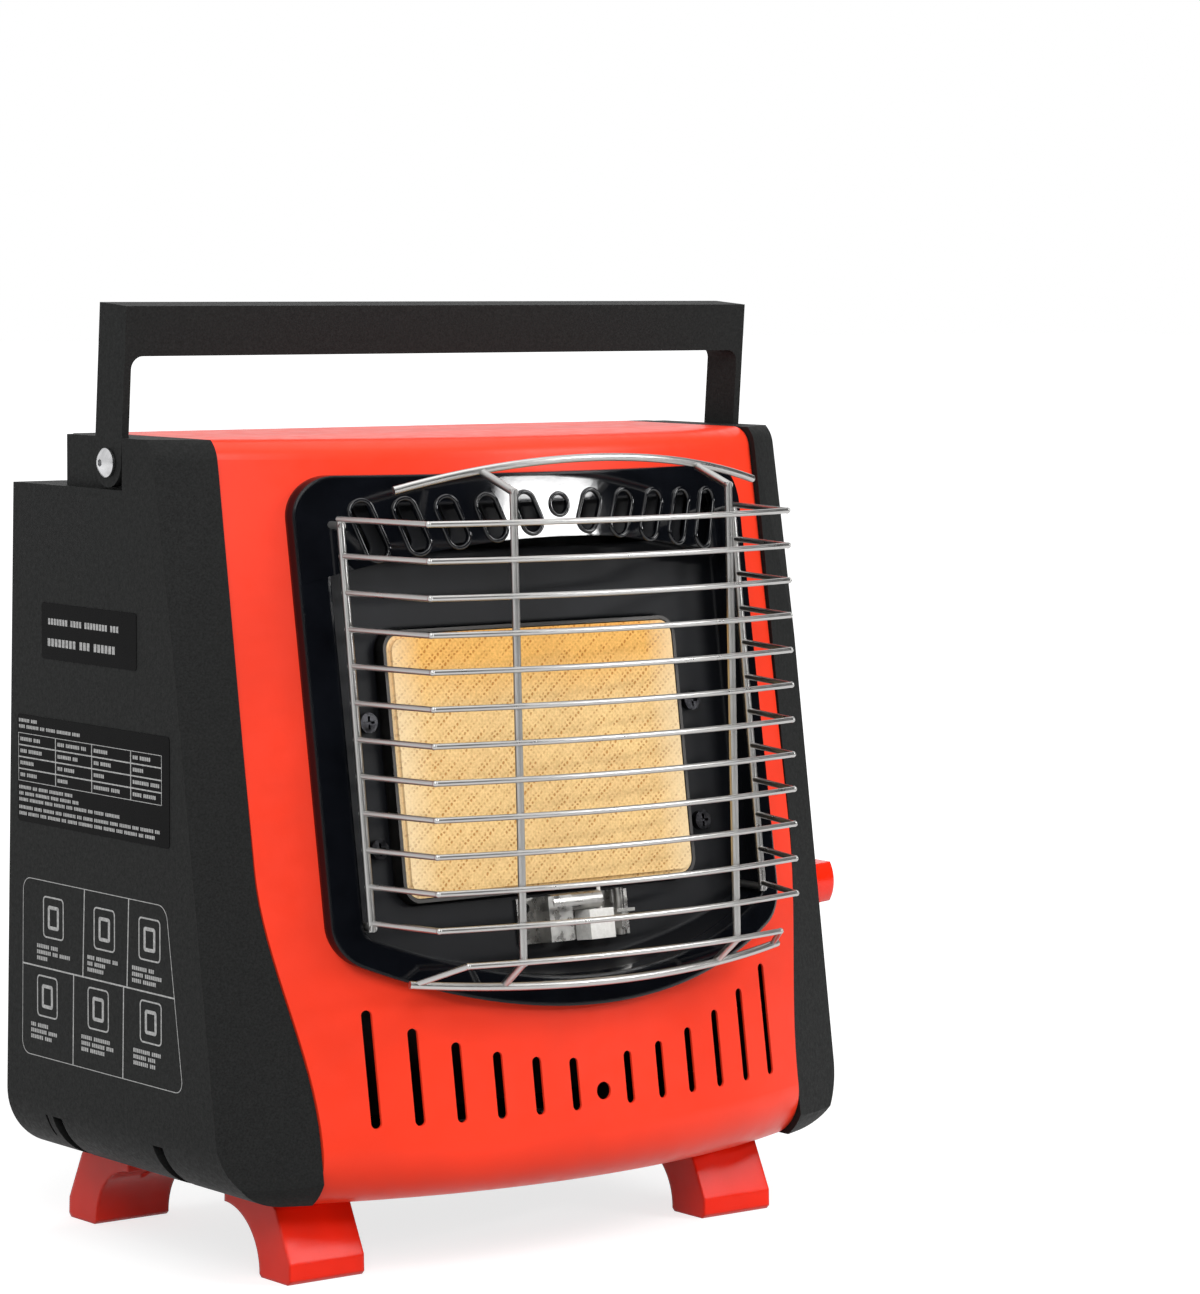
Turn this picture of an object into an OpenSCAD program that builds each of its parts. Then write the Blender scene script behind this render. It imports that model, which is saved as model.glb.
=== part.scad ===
// Portable cabinet heater for a lying gas cartridge.
// Millimetres, Z up, front face towards -Y, feet on Z = 0.

/* [Cabinet] */
// Width over both side covers
body_w = 240; // [236:1:250]
// Height of the top deck above the floor
top_z = 251; // [250:0.5:254]
// Lean of the front panel in degrees
lean = 9; // [7:0.5:10]
// Distance from the front panel's bow centre to the origin
bow_y = 130; // [125:1:135]
// Front panel radius at mid height
front_r = 226.6; // [225:0.2:228]
// Half width of the front panel above the waist
panel_half = 103.3; // [102.8:0.1:103.6]
// Half width of the front panel at its foot
panel_low_half = 92; // [90:0.5:94]
// Thickness of the steel sheet
sheet = 0.8; // [0.6:0.1:1]
// Wall of the moulded side covers
wall = 2.4; // [2:0.1:2.8]
// Height of the step behind the deck
step_z = 235.4; // [235:0.1:235.8]

/* [Handle] */
// Height of the pivot axis
pivot_z = 243.4; // [243.2:0.1:243.6]
// Forward lean of the raised handle in degrees
handle_lean = 4; // [3:0.5:4]
// Depth of the handle legs
leg_w = 14.8; // [14:0.2:15]
// Thickness of the handle legs
leg_t = 2.4; // [2:0.1:2.4]
// Length of the legs above the pivot
leg_h = 47.5; // [44:0.5:48]
// Height of the grip bar
grip_h = 15; // [12:0.5:15.4]
// Shank diameter of the pivot screws
pivot_d = 5; // [4:0.5:6]

/* [Burner] */
// Width of the ceramic plaque that shows
tile_w = 108; // [100:1:112]
// Height of the ceramic plaque that shows
tile_h = 77.5; // [72:0.5:80]
// Height of the plaque's centre
tile_z = 153; // [152:0.5:155]
// Width of the rolled rim round the reflector
rim_w = 8; // [6:0.5:9]
// Stand-off of the rim from the panel
rim_out = 4; // [3:0.5:5]

/* [Guard] */
// Diameter of the cross wires
wire_d = 1.8; // [1.4:0.1:2]
// Diameter of the upright wires
post_d = 2.4; // [2:0.1:2.8]
// Number of full cross wires
bar_n = 12; // [8:1:12]
// Pitch of the cross wires
bar_pitch = 10.78; // [10:0.02:10.8]

/* [Vents] */
// Number of upright slots on each side of the hole
slot_n = 6; // [4:1:6]
// Pitch of the upright slots
slot_pitch = 13.17; // [12:0.01:13.2]
// Width of the upright slots
slot_w = 3.2; // [2.4:0.1:4]

/* [Controls] */
// Knob skirt diameter
knob_d = 32; // [28:1:34]
// Stem diameter
stem_d = 6; // [5:0.5:7]
// Radial running clearance of pins and stems
run_gap = 0.06; // [0.03:0.01:0.08]

/* [Feet] */
// Width of a foot
foot_w = 27; // [24:1:28]
// Centre of a foot from the middle
foot_x = 79.9; // [78:0.5:82]

/* [Hidden] */
$fn = 64;
tl = tan(lean);
roll_b = 16;
roll_t = 7;
bot_z = 24.5;
fold_x = body_w / 2;
cb_z = bot_z + roll_b;
cb_r = front_r - tl * (cb_z + roll_b * sin(lean) - 157) - roll_b * cos(lean);
ct_z = top_z - roll_t;
ct_r = front_r - tl * (ct_z + roll_t * sin(lean) - 157) - roll_t * cos(lean);
deck_y = 8.2;
rear_top_y = 31;
rear_low_y = 36.6;
rear_lean = atan((rear_low_y - rear_top_y) / (step_z - 40));
base_z = 26;
pivot_y = -23;
leg_x = fold_x - 0.3 - leg_t;
recess_x = leg_x - 0.3;
chassis_x = panel_half - sheet - 0.1;
shield_x = chassis_x - 1.4;
recess_y = pivot_y - 8.4;
tile_y = -82.7;
pan_back = 5;
hinge_z = 46;
hinge_y = rear_low_y + 2.7;
door_h = 150;
door_w = 186;
knob_y = -47;
knob_z = 100;
bay_y = -4;
bay_z = 68;
// radius of the top cross wire and the y of its middle
axis_r = front_r + 28.5;
front_y = bow_y - axis_r;
bar_step = 0.53;
// centre of the whole object, set over the origin
mid_x = 8.75;
mid_y = (43.2 + front_y - bar_n * bar_step - wire_d / 2) / 2;

// screws that hold the rear panel
panel_screws = [[-96, 205], [96, 205], [-96, 34], [96, 34]];

// ---- placing helpers ----
module placed() {
  translate([-mid_x, -mid_y, 0]) children();
}
module along_y(y0, y1) {
  translate([0, y1, 0]) rotate([90, 0, 0]) linear_extrude(y1 - y0) children();
}
module along_x(x0, x1) {
  translate([x0, 0, 0]) rotate([90, 0, 90]) linear_extrude(x1 - x0) children();
}
module leaned() {
  translate([0, tile_y, tile_z]) rotate([-lean, 0, 0]) children();
}
module rear_wall_frame() {
  translate([0, rear_low_y, 40]) rotate([rear_lean, 0, 0]) children();
}
module x_cyl(x0, x1, y, z, d) {
  translate([x0, y, z]) rotate([0, 90, 0]) cylinder(h = x1 - x0, d = d);
}
module rod(a, b, d) {
  v = b - a;
  translate(a) rotate([0, acos(v[2] / norm(v)), atan2(v[1], v[0])]) cylinder(h = norm(v), d = d);
}
// bent wire: each length runs a little past its bends, by a share of the diameter
module wire(points, d, past = 0.35) {
  last = len(points) - 2;
  for (i = [0:last]) {
    u = (points[i + 1] - points[i]) / norm(points[i + 1] - points[i]) * d * past;
    rod(points[i] - (i > 0 ? u : 0 * u), points[i + 1] + (i < last ? u : 0 * u), d);
  }
}
// leaned burner coordinates as a point in y and z
function burner_pt(y, z) = [tile_y + y * cos(lean) + z * sin(lean),
  tile_z - y * sin(lean) + z * cos(lean)];

// ---- shared outlines ----
// half section of everything behind the bowed front, grown outwards by g
module front_section(g, r_in) {
  rb = roll_b + g;
  rt = max(roll_t + g, 0.2);
  polygon([[r_in, cb_z - rb], [cb_r, cb_z - rb],
    [cb_r + rb * cos(lean), cb_z + rb * sin(lean)],
    [ct_r + rt * cos(lean), ct_z + rt * sin(lean)],
    [ct_r, ct_z + rt], [r_in, ct_z + rt]]);
  translate([cb_r, cb_z]) circle(rb);
  translate([ct_r, ct_z]) circle(rt);
}
module front_solid(g, r_in = 90) {
  translate([0, bow_y, 0]) rotate_extrude($fn = 96) front_section(g, r_in);
}
module front_shell(a, b) {
  difference() {
    front_solid(a, 100);
    front_solid(b, 90);
  }
}
function waist(t) = t <= 0 ? 0 : t >= 1 ? 1 : t * t * (3 - 2 * t);
function edge_x(z) = panel_low_half + (panel_half - panel_low_half) * waist((z - 45) / 80);
// front view of the red sheet, drawn in x and z
module panel_outline(o = 0) {
  zs = [for (i = [0:16]) 45 + i * 5];
  right = [for (z = zs) [edge_x(z) - o, z]];
  left = [for (i = [16:-1:0]) [-edge_x(zs[i]) + o, zs[i]]];
  polygon(concat([[panel_low_half - o, 10]], right, [[panel_half - o, 262]],
    [[-panel_half + o, 262]], left, [[-panel_low_half + o, 10]]));
}
// opening of the reflector: straight sides, deep arc below
bz_half = 86;
bz_top = 240.5;
bz_corner = 13;
bz_arc = 200;
bz_low = 80.3;
bz_cx = bz_half - bz_corner;
bz_cz = bz_low + bz_arc - sqrt(pow(bz_arc - bz_corner, 2) - bz_cx * bz_cx);
module bezel_outline(o = 0) {
  ra = bz_arc - o;
  rc = bz_corner - o;
  ca = bz_low + bz_arc;
  k = 1.2 * ra / (bz_arc - bz_corner);
  union() {
    intersection() {
      translate([0, ca]) circle(ra, $fn = 256);
      polygon([[bz_cx, bz_cz], [bz_cx * k, ca + (bz_cz - ca) * k],
        [-bz_cx * k, ca + (bz_cz - ca) * k], [-bz_cx, bz_cz]]);
    }
    for (s = [-1, 1]) {
      translate([s * bz_cx, bz_cz]) circle(rc);
      translate([s * bz_cx, bz_top - bz_corner]) circle(rc);
    }
    translate([-bz_cx, bz_cz]) square([2 * bz_cx, bz_top - o - bz_cz]);
    translate([-bz_half + o, bz_cz]) square([2 * (bz_half - o), bz_top - bz_corner - bz_cz]);
  }
}
module slot_2d(w, h) {
  translate([-w / 2, w / 2]) square([w, h - w]);
  for (z = [w / 2, h - w / 2]) translate([0, z]) circle(d = w, $fn = 32);
}
module round_rect(w, h, r) {
  square([w - 2 * r, h], center = true);
  square([w, h - 2 * r], center = true);
  for (sx = [-1, 1], sz = [-1, 1]) translate([sx * (w / 2 - r), sz * (h / 2 - r)]) circle(r);
}

// ---- cabinet ----
module front_panel() color([0.86, 0.13, 0.06]) placed() difference() {
  union() {
    intersection() {
      front_shell(0, -sheet);
      along_y(-150, deck_y) panel_outline();
    }
    // turned side flanges
    intersection() {
      front_shell(0, -6.5);
      along_y(-150, deck_y - 12) difference() {
        panel_outline();
        panel_outline(sheet);
      }
    }
  }
  // end of the rolled foot
  translate([-150, -72, 0]) cube([300, 100, 60]);
  along_y(-150, -40) bezel_outline(1.2);
  for (s = [-1, 1], i = [0:slot_n - 1]) {
    x = slot_pitch * (i + 0.79);
    h = 15.5 + 0.0033 * x * x;
    along_y(-140, -60) translate([s * x, 48.6]) slot_2d(slot_w, h);
  }
  along_y(-140, -60) translate([0, 53.5]) circle(d = 5.4);
}

module cover_outline(o) {
  r = 20;
  translate([86, base_z + r]) square([fold_x - 86 - o, top_z - o - base_z - r]);
  translate([86, base_z + o]) square([fold_x - r - 86, r + 1]);
  translate([fold_x - r, base_z + r]) circle(r - o, $fn = 96);
}
module cover_side(o) {
  polygon([[deck_y - o, top_z + 1], [deck_y - o, step_z - o], [rear_top_y - o, step_z - o],
    [rear_low_y - o, 40], [rear_low_y - o, 10], [-150, 10], [-150, top_z + 1]]);
}
// half space behind the front chamfer of a side cover
module behind_chamfer(o) {
  n = [0.5, -1, tl];
  k = norm(n);
  translate([fold_x, -66 + tl * (190 - 145), 190])
    rotate([0, acos(n[2] / k), atan2(n[1], n[0])])
      translate([-300, -300, -600 - o]) cube([600, 600, 600]);
}
module cover_body(o) {
  intersection() {
    along_y(-150, 60) cover_outline(o);
    along_x(60, 150) cover_side(o);
    behind_chamfer(o);
    front_solid(2.2 - o, 60);
  }
}
boss_pts = [[20, 214], [20, 60], [-30, 196], [-55, 62]];
module side_cover() {
  difference() {
    union() {
      difference() {
        cover_body(0);
        difference() {
          cover_body(wall);
          // pocket wall behind the handle leg
          translate([recess_x - wall, recess_y - wall, step_z - wall])
            cube([40, deck_y - recess_y + 2 * wall, 40]);
        }
      }
      intersection() {
        cover_body(0.5);
        union() {
          for (p = boss_pts) x_cyl(chassis_x + 0.1, fold_x - 1, p[0], p[1], 8);
          x_cyl(panel_half + 0.4, recess_x - 0.5, pivot_y, pivot_z - 1.2, 12);
          // stiffening ribs behind the flat side
          for (z = [90:36:162]) translate([fold_x - 8, -60, z]) cube([7, 92, 1.6]);
        }
      }
    }
    // room for the chassis, the base and the front sheet
    difference() {
      translate([0, -70, 0]) cube([panel_half + 0.4, 130, 300]);
      for (p = boss_pts) x_cyl(chassis_x + 0.1, panel_half + 2, p[0], p[1], 8);
    }
    along_y(-150, -69) panel_outline(-0.4);
    // pocket for the handle leg, open to the top and to the rear
    translate([recess_x, recess_y, step_z]) cube([20, 90, 30]);
    // room for the root of the folded handle
    translate([recess_x - 4.6, 4.4, step_z]) cube([10, 10, 30]);
    for (p = boss_pts) x_cyl(100, panel_half + 9, p[0], p[1], 2.6);
    x_cyl(100, 130, pivot_y, pivot_z, pivot_d + 0.04);
    // ventilation slits of the lower bevel
    for (y = [5.6, -51.4]) translate([94, y, 20]) cube([40, 5.4, 20]);
    translate([115.2, 14, 20]) cube([10, 1.2, 20]);
  }
}
module side_cover_left() color([0.13, 0.13, 0.13]) placed() mirror([1, 0, 0]) side_cover();
module side_cover_right() color([0.13, 0.13, 0.13]) placed() difference() {
  side_cover();
  x_cyl(100, 130, knob_y, knob_z, 14);
}

module rear_panel() color([0.1, 0.1, 0.1]) placed() difference() {
  union() {
    along_x(-panel_half, panel_half) polygon([[deck_y - 0.1, top_z - 1.1], [deck_y - 0.1, step_z],
      [rear_top_y, step_z], [rear_low_y, 40], [rear_low_y, base_z + 1.5],
      [rear_low_y - 1, base_z + 1.5], [rear_low_y - 1, 40], [rear_top_y - 1, step_z - 1],
      [deck_y - 1.1, step_z - 1], [deck_y - 1.1, top_z - 1.1]]);
    // knuckles of the door hinges
    for (s = [-1, 1], k = [-9, 9]) hinge_knuckle(s * 60 + k - 3.5, 7, false);
  }
  rear_wall_frame() translate([-door_w / 2 - 0.6, -4, hinge_z - 40 + 3.2])
    cube([door_w + 1.2, 8, door_h + 1.2]);
  for (s = [-1, 1]) door_pin_hole(s);
  slot_low = hinge_z - 40 + door_h + 11;
  for (i = [-8:8]) rear_wall_frame() translate([i * 11 - 2, -4, slot_low]) cube([4, 8, 187 - slot_low]);
  for (p = panel_screws)
    translate([p[0], 40, p[1]]) rotate([90, 0, 0]) cylinder(h = 12, d = 3.1);
}
module door_pin_hole(s) {
  x_cyl(s * 60 - 16, s * 60 + 16, hinge_y, hinge_z, 2.4 + 2 * run_gap);
}
module hinge_knuckle(x, w, inner) {
  x_cyl(x, x + w, hinge_y, hinge_z, 5);
  if (inner) {
    translate([x, rear_low_y + 0.5, hinge_z]) cube([w, 1.9, 10]);
    translate([x, rear_low_y - 1, hinge_z + 4.6]) cube([w, 2, 5.4]);
  }
  else translate([x, rear_low_y - 0.9, hinge_z - 5]) cube([w, 2.2, 5]);
}
module rear_door() color([0.14, 0.14, 0.14]) placed() difference() {
  union() {
    rear_wall_frame() difference() {
      union() {
        translate([-door_w / 2, -2.2, hinge_z - 40 + 3.8]) cube([door_w, 2.4, door_h]);
        // rim and ribs on the inner side
        for (x = [-door_w / 2, -door_w / 4, 0, door_w / 4, door_w / 2 - 1.8])
          translate([x, -5, hinge_z - 40 + 12]) cube([1.8, 3, door_h - 16]);
        for (z = [12, 60, 108]) translate([-door_w / 2, -5, hinge_z - 40 + z])
          cube([door_w, 3, 1.8]);
        // thumb grip
        translate([-18, 0, door_h - 8]) cube([36, 3.6, 3]);
      }
      for (i = [-6:6]) translate([i * 13 - 2.6, -12, hinge_z - 40 + 66]) cube([5.2, 20, 36]);
    }
    for (s = [-1, 1]) hinge_knuckle(s * 60 - 5.2, 10.4, true);
  }
  for (s = [-1, 1]) door_pin_hole(s);
}
module door_pins() color([0.75, 0.75, 0.76]) placed()
  for (s = [-1, 1]) x_cyl(s * 60 - 13, s * 60 + 13, hinge_y, hinge_z, 2.4);

module base_plate() color([0.1, 0.1, 0.1]) placed() difference() {
  union() {
    translate([-panel_half, -70, base_z]) cube([2 * panel_half, rear_low_y - 1.2 + 70, 1.2]);
    for (s = [-1, 1]) translate([s * (chassis_x - 1.9) - 0.6, -66, base_z + 1])
      cube([1.2, 96, 10]);
    translate([-92, rear_low_y - 2.4, base_z + 1]) cube([184, 1.2, 10]);
    translate([-88, -70, base_z + 1]) cube([176, 1.2, 10]);
  }
  for (i = [-5:5]) translate([i * 10 - 2, -48, base_z - 1]) cube([4, 34, 4]);
  for (p = foot_holes) translate([p[0], p[1], base_z - 1]) cylinder(h = 4, d = 3.4);
}
module chassis_side() difference() {
  along_x(chassis_x - 1.2, chassis_x) polygon([[rear_low_y - 1.2, base_z + 1.4],
    [-62, base_z + 1.4], [-62, 60], [-62, 128], [-74, 131], [-54.5, 240], [deck_y - 3, 240],
    [deck_y - 3, step_z - 3], [rear_top_y - 1.2, step_z - 3], [rear_low_y - 1.2, 40]]);
  for (p = boss_pts) x_cyl(90, 120, p[0], p[1], 3.2);
  x_cyl(90, 120, knob_y, knob_z, 16);
  translate([90, -40, 120]) cube([30, 50, 60]);
}
module chassis_left() color([0.55, 0.56, 0.57]) placed() mirror([1, 0, 0]) chassis_side();
module chassis_right() color([0.55, 0.56, 0.57]) placed() chassis_side();
module heat_shield() color([0.72, 0.73, 0.74]) placed() difference() {
  union() {
    translate([-shield_x, -46, base_z + 14]) cube([2 * shield_x, 0.8, 190]);
    translate([-shield_x, -46, base_z + 203.2]) cube([2 * shield_x, 50, 0.8]);
    for (s = [-1, 1]) translate([s * (shield_x - 0.4) - 0.4, -46, base_z + 14])
      cube([0.8, 14, 190]);
  }
  for (i = [-7:7]) translate([i * 12, -30, 220]) cylinder(h = 20, d = 6, $fn = 32);
  translate([60, -50, 78]) cube([panel_half - 60, 22, 34]);
}
module cover_screws() color([0.6, 0.6, 0.62]) placed() {
  for (p = panel_screws) {
    y = rear_low_y + 0.15 - (p[1] - 40) * tan(rear_lean);
    translate([p[0], y, p[1]]) rotate([90 + rear_lean, 0, 0]) {
      translate([0, 0, -1.8]) difference() {
        cylinder(h = 1.8, d1 = 3.6, d2 = 6);
        translate([-2.2, -0.4, -1]) cube([4.4, 0.8, 1.8]);
        translate([-0.4, -2.2, -1]) cube([0.8, 4.4, 1.8]);
      }
      cylinder(h = 8, d = 3);
    }
  }
}

// ---- handle ----
module handle_frame() {
  translate([0, pivot_y, pivot_z]) rotate([handle_lean, 0, 0]) children();
}
module handle() color([0.12, 0.12, 0.12]) placed() handle_frame() difference() {
  union() {
    for (s = [0, 1]) mirror([s, 0, 0]) {
      translate([leg_x, -leg_w / 2, 0]) cube([leg_t, leg_w, leg_h]);
      x_cyl(leg_x, leg_x + leg_t, 0, 0, leg_w);
      // curved root between leg and grip
      translate([leg_x - 4, -leg_w / 2, leg_h - grip_h - 4]) difference() {
        cube([5, leg_w, 5]);
        translate([0, -1, 0]) rotate([-90, 0, 0]) cylinder(h = leg_w + 2, r = 4);
      }
    }
    translate([-leg_x - 1, -leg_w / 2, leg_h - grip_h]) cube([2 * leg_x + 2, leg_w, grip_h]);
  }
  for (s = [0, 1]) mirror([s, 0, 0]) x_cyl(leg_x - 5, leg_x + 5, 0, 0, pivot_d + 2 * run_gap);
  // hollow under the grip, crossed by ribs
  for (i = [-5:4]) translate([i * 23 + 1.2, -leg_w / 2 + 2.2, leg_h - grip_h - 1])
    cube([20.6, leg_w - 4.4, grip_h - 1.6]);
}
module handle_screws() color([0.82, 0.82, 0.83]) placed()
  for (s = [0, 1]) mirror([s, 0, 0]) translate([fold_x, pivot_y, pivot_z]) rotate([0, 90, 0])
    difference() {
      rotate_extrude() {
        translate([0, recess_x - 9 - fold_x]) square([pivot_d / 2, 9.5 + fold_x - recess_x]);
        intersection() {
          translate([0, -3.4]) circle(6);
          square([4.4, 4]);
        }
      }
      translate([0, 0, 1.2]) cylinder(h = 4, d = 2.4, $fn = 6);
    }

// ---- feet ----
foot_holes = [[-foot_x, -58], [foot_x, -58], [-foot_x, 20], [foot_x, 20]];
module foot_profile(o) {
  difference() {
    polygon([[-46 - o, 26 - o], [-71 + o, 26 - o], [-71 + o, 23.6 - o / 2], [-73.4 + o, 21.7 - o],
      [-81 + o, 6.4], [-81.2 + o, 1.2 + o], [-80 + o, o], [-66 - o, o], [-64.9 - o, 1 + o],
      [-46 - o, 20]]);
    translate([-46, 1]) circle(18.9 + o, $fn = 96);
  }
}
module front_foot() difference() {
  translate([-foot_w / 2, 0, 0]) along_x(0, foot_w) foot_profile(0);
  // moulded hollow, open to the top round the screw column
  translate([-foot_w / 2 + 2.5, 0, 0]) along_x(0, foot_w - 5) difference() {
    union() {
      foot_profile(2.5);
      translate([-68.4, 22]) square([19.9, 5]);
    }
    translate([-64, 10]) square([14, 20]);
  }
  translate([0, -58, 10]) cylinder(h = 20, d = 2.6);
}
module rear_foot() translate([0, -38, 0]) mirror([0, 1, 0]) front_foot();
module foot_front_left() color([0.85, 0.12, 0.05]) placed() translate([-foot_x, 0, 0]) front_foot();
module foot_front_right() color([0.85, 0.12, 0.05]) placed() translate([foot_x, 0, 0]) front_foot();
module foot_rear_left() color([0.85, 0.12, 0.05]) placed() translate([-foot_x, 0, 0]) rear_foot();
module foot_rear_right() color([0.85, 0.12, 0.05]) placed() translate([foot_x, 0, 0]) rear_foot();
module foot_screws() color([0.6, 0.6, 0.62]) placed()
  for (p = foot_holes) translate([p[0], p[1], base_z + 1.2]) {
    difference() {
      cylinder(h = 2, d = 6.4);
      for (a = [0, 90]) rotate([0, 0, a]) translate([-2.2, -0.4, 1]) cube([4.4, 0.8, 2]);
    }
    translate([0, 0, -10]) cylinder(h = 10, d = 2.6);
  }

// ---- burner front ----
arch_r = 300;
arch_z = 221;
module below_arch(o) {
  difference() {
    translate([-100, 60]) square([200, 200]);
    difference() {
      translate([-100, 190]) square([200, 70]);
      translate([0, arch_z - arch_r]) circle(arch_r - o, $fn = 256);
    }
  }
}
module before_pan(o) {
  leaned() translate([-150, pan_back - 200 + o, -150]) cube([300, 200, 300]);
}
module louvres() {
  for (s = [-1, 1], i = [1:5]) {
    x0 = 12.8 * i - 3.6 + 0.25 * i;
    lower = 224.6 - 1.75 * i;
    upper = 234.4 - 0.35 * i;
    translate([s * x0, lower]) rotate([0, 0, -s * 22]) slot_2d(6.2, (upper - lower) / cos(22));
  }
  translate([0, 230.6]) circle(d = 5.6);
}
module reflector() color([0.03, 0.03, 0.035]) placed() difference() {
  union() {
    // rolled rim over the panel edge
    intersection() {
      front_shell(rim_out, rim_out - 1);
      along_y(-160, -40) difference() {
        bezel_outline(0);
        bezel_outline(rim_w + 0.8);
      }
    }
    intersection() {
      front_shell(rim_out, 0.1);
      along_y(-160, -40) difference() {
        bezel_outline(0);
        bezel_outline(0.9);
      }
    }
    // side wall of the dish
    intersection() {
      front_solid(rim_out);
      before_pan(0.8);
      along_y(-160, -40) difference() {
        bezel_outline(rim_w);
        bezel_outline(rim_w + 0.9);
      }
    }
    // louvred brow
    intersection() {
      front_shell(-4, -4.9);
      before_pan(0.8);
      along_y(-160, -40) difference() {
        bezel_outline(rim_w);
        below_arch(0);
      }
    }
    intersection() {
      front_solid(-4);
      before_pan(0.8);
      along_y(-160, -40) intersection() {
        bezel_outline(rim_w);
        difference() {
          below_arch(-0.9);
          below_arch(0);
        }
      }
    }
    // flat pan round the burner
    intersection() {
      leaned() translate([-100, pan_back, -80]) cube([200, 0.8, 145]);
      along_y(-160, -30) intersection() {
        bezel_outline(rim_w);
        below_arch(-0.9);
      }
    }
  }
  leaned() along_y(-20, 20) round_rect(tile_w + 6, tile_h + 6, 7);
  intersection() {
    along_y(-120, -60) louvres();
    front_solid(-3);
  }
  for (s = [-1, 1], z = [-24, 14]) leaned() translate([s * 62.5, 12, z]) rotate([90, 0, 0])
    cylinder(h = 20, d = 3.3);
  for (s = [-1, 1], z = [108, 226]) translate([s * 75.4, -40, z]) rotate([90, 0, 0])
    cylinder(h = 80, d = post_d + 0.5);
  // way for the ignition lead behind the pilot
  leaned() translate([13.7, 20, -53]) rotate([90, 0, 0]) cylinder(h = 40, d = 4);
}
module burner_box() color([0.45, 0.45, 0.46]) placed() difference() {
  union() {
    leaned() along_y(1, 25) round_rect(tile_w + 4.8, tile_h + 4.8, 6);
    // ears under the pan
    leaned() translate([-67, pan_back + 1, -32]) cube([134, 1.6, 54]);
    // mixing tube
    leaned() translate([44, 17, -30]) rotate([0, -90, 0]) cylinder(h = 88, d = 16);
    leaned() translate([66, 17, -30]) rotate([0, -90, 0]) cylinder(h = 22.2, d1 = 20, d2 = 16);
  }
  leaned() along_y(0, 14.2) round_rect(tile_w + 2.6, tile_h + 2.6, 5);
  leaned() translate([-tile_w / 2, 10, -tile_h / 2 + 4]) cube([tile_w, 13, tile_h - 8]);
  leaned() translate([70, 17, -30]) rotate([0, -90, 0]) cylinder(h = 100, d = 12);
  for (s = [-1, 1], z = [-24, 14]) leaned() translate([s * 62.5, 12, z]) rotate([90, 0, 0])
    cylinder(h = 20, d = 2.9);
}
module burner_tile() color([0.95, 0.72, 0.42]) placed() leaned() difference() {
  along_y(0, 14) round_rect(tile_w + 2, tile_h + 2, 4.6);
  along_y(-0.01, 1.2) difference() {
    round_rect(tile_w + 4, tile_h + 4, 4.6);
    round_rect(tile_w - 0.2, tile_h - 0.2, 4.2);
  }
}
module burner_screws() color([0.7, 0.7, 0.71]) placed()
  for (s = [-1, 1], z = [-24, 14]) leaned() translate([s * 62.5, pan_back, z]) {
    rotate([90, 0, 0]) difference() {
      cylinder(h = 2.2, d = 6.2);
      for (a = [0, 90]) rotate([0, 0, a]) translate([-2, -0.4, 1.2]) cube([4, 0.8, 2]);
    }
    rotate([-90, 0, 0]) cylinder(h = 6, d = 2.8);
  }
module pilot_bracket() color([0.75, 0.75, 0.76]) placed() leaned() difference() {
  union() {
    translate([-13, pan_back - 1, -57]) cube([43, 0.96, 14]);
    translate([-6, pan_back - 8, -57]) cube([9, 1, 14]);
    translate([-6, pan_back - 8, -57]) cube([1, 7.5, 14]);
    x_cyl(-4, 15, pan_back - 5.5, -45.2, 5.6);
    // ear that holds the thermocouple
    translate([21, pan_back - 7, -50]) cube([7, 6.5, 1]);
  }
  for (x = [-9.6, 19]) translate([x, pan_back + 1, -46]) rotate([90, 0, 0])
    cylinder(h = 6, d = 3);
  translate([13.7, pan_back + 1, -53]) rotate([90, 0, 0]) cylinder(h = 3, d = 4);
  x_cyl(1, 20, pan_back - 5.5, -45.2, 3);
  translate([24.5, pan_back - 3.8, -60]) cylinder(h = 20, d = 3.3);
}
module electrode() color([0.93, 0.92, 0.88]) placed() leaned() {
  translate([9, pan_back - 8.6, -57.4]) cube([9.4, 7.5, 9.2]);
  translate([16, pan_back - 5, -48.8]) cylinder(h = 9, d = 1.2);
}
module thermocouple() color([0.72, 0.5, 0.25]) placed() leaned() {
  translate([24.5, pan_back - 3.8, -57]) cylinder(h = 14.5, d = 3.2);
  translate([24.5, pan_back - 3.8, -55]) cylinder(h = 4.95, d = 5.4, $fn = 6);
}

// ---- guard ----
// wire bent to an arc in the plane through its ends and its middle
module arc_wire(half, end_yz, mid_yz, d) {
  rise = norm(mid_yz - end_yz);
  r = (half * half + rise * rise) / (2 * rise);
  a = asin(half / r);
  translate([0, mid_yz[0], mid_yz[1]])
    rotate([atan2(end_yz[1] - mid_yz[1], end_yz[0] - mid_yz[0]), 0, 0])
      translate([0, r, 0]) rotate([0, 0, -90 - a]) rotate_extrude(angle = 2 * a, $fn = 256)
        translate([r, 0]) circle(d = d, $fn = 24);
}
function post_y(z) = front_y + 27.7 + 0.1384 * (z - 108.8);
function arc_y(r, x) = bow_y - sqrt(r * r - x * x);
bar_half = 68.6;
post_x = 75.4;
stay_x = 41;
top_bar_z = 227.9;
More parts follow.
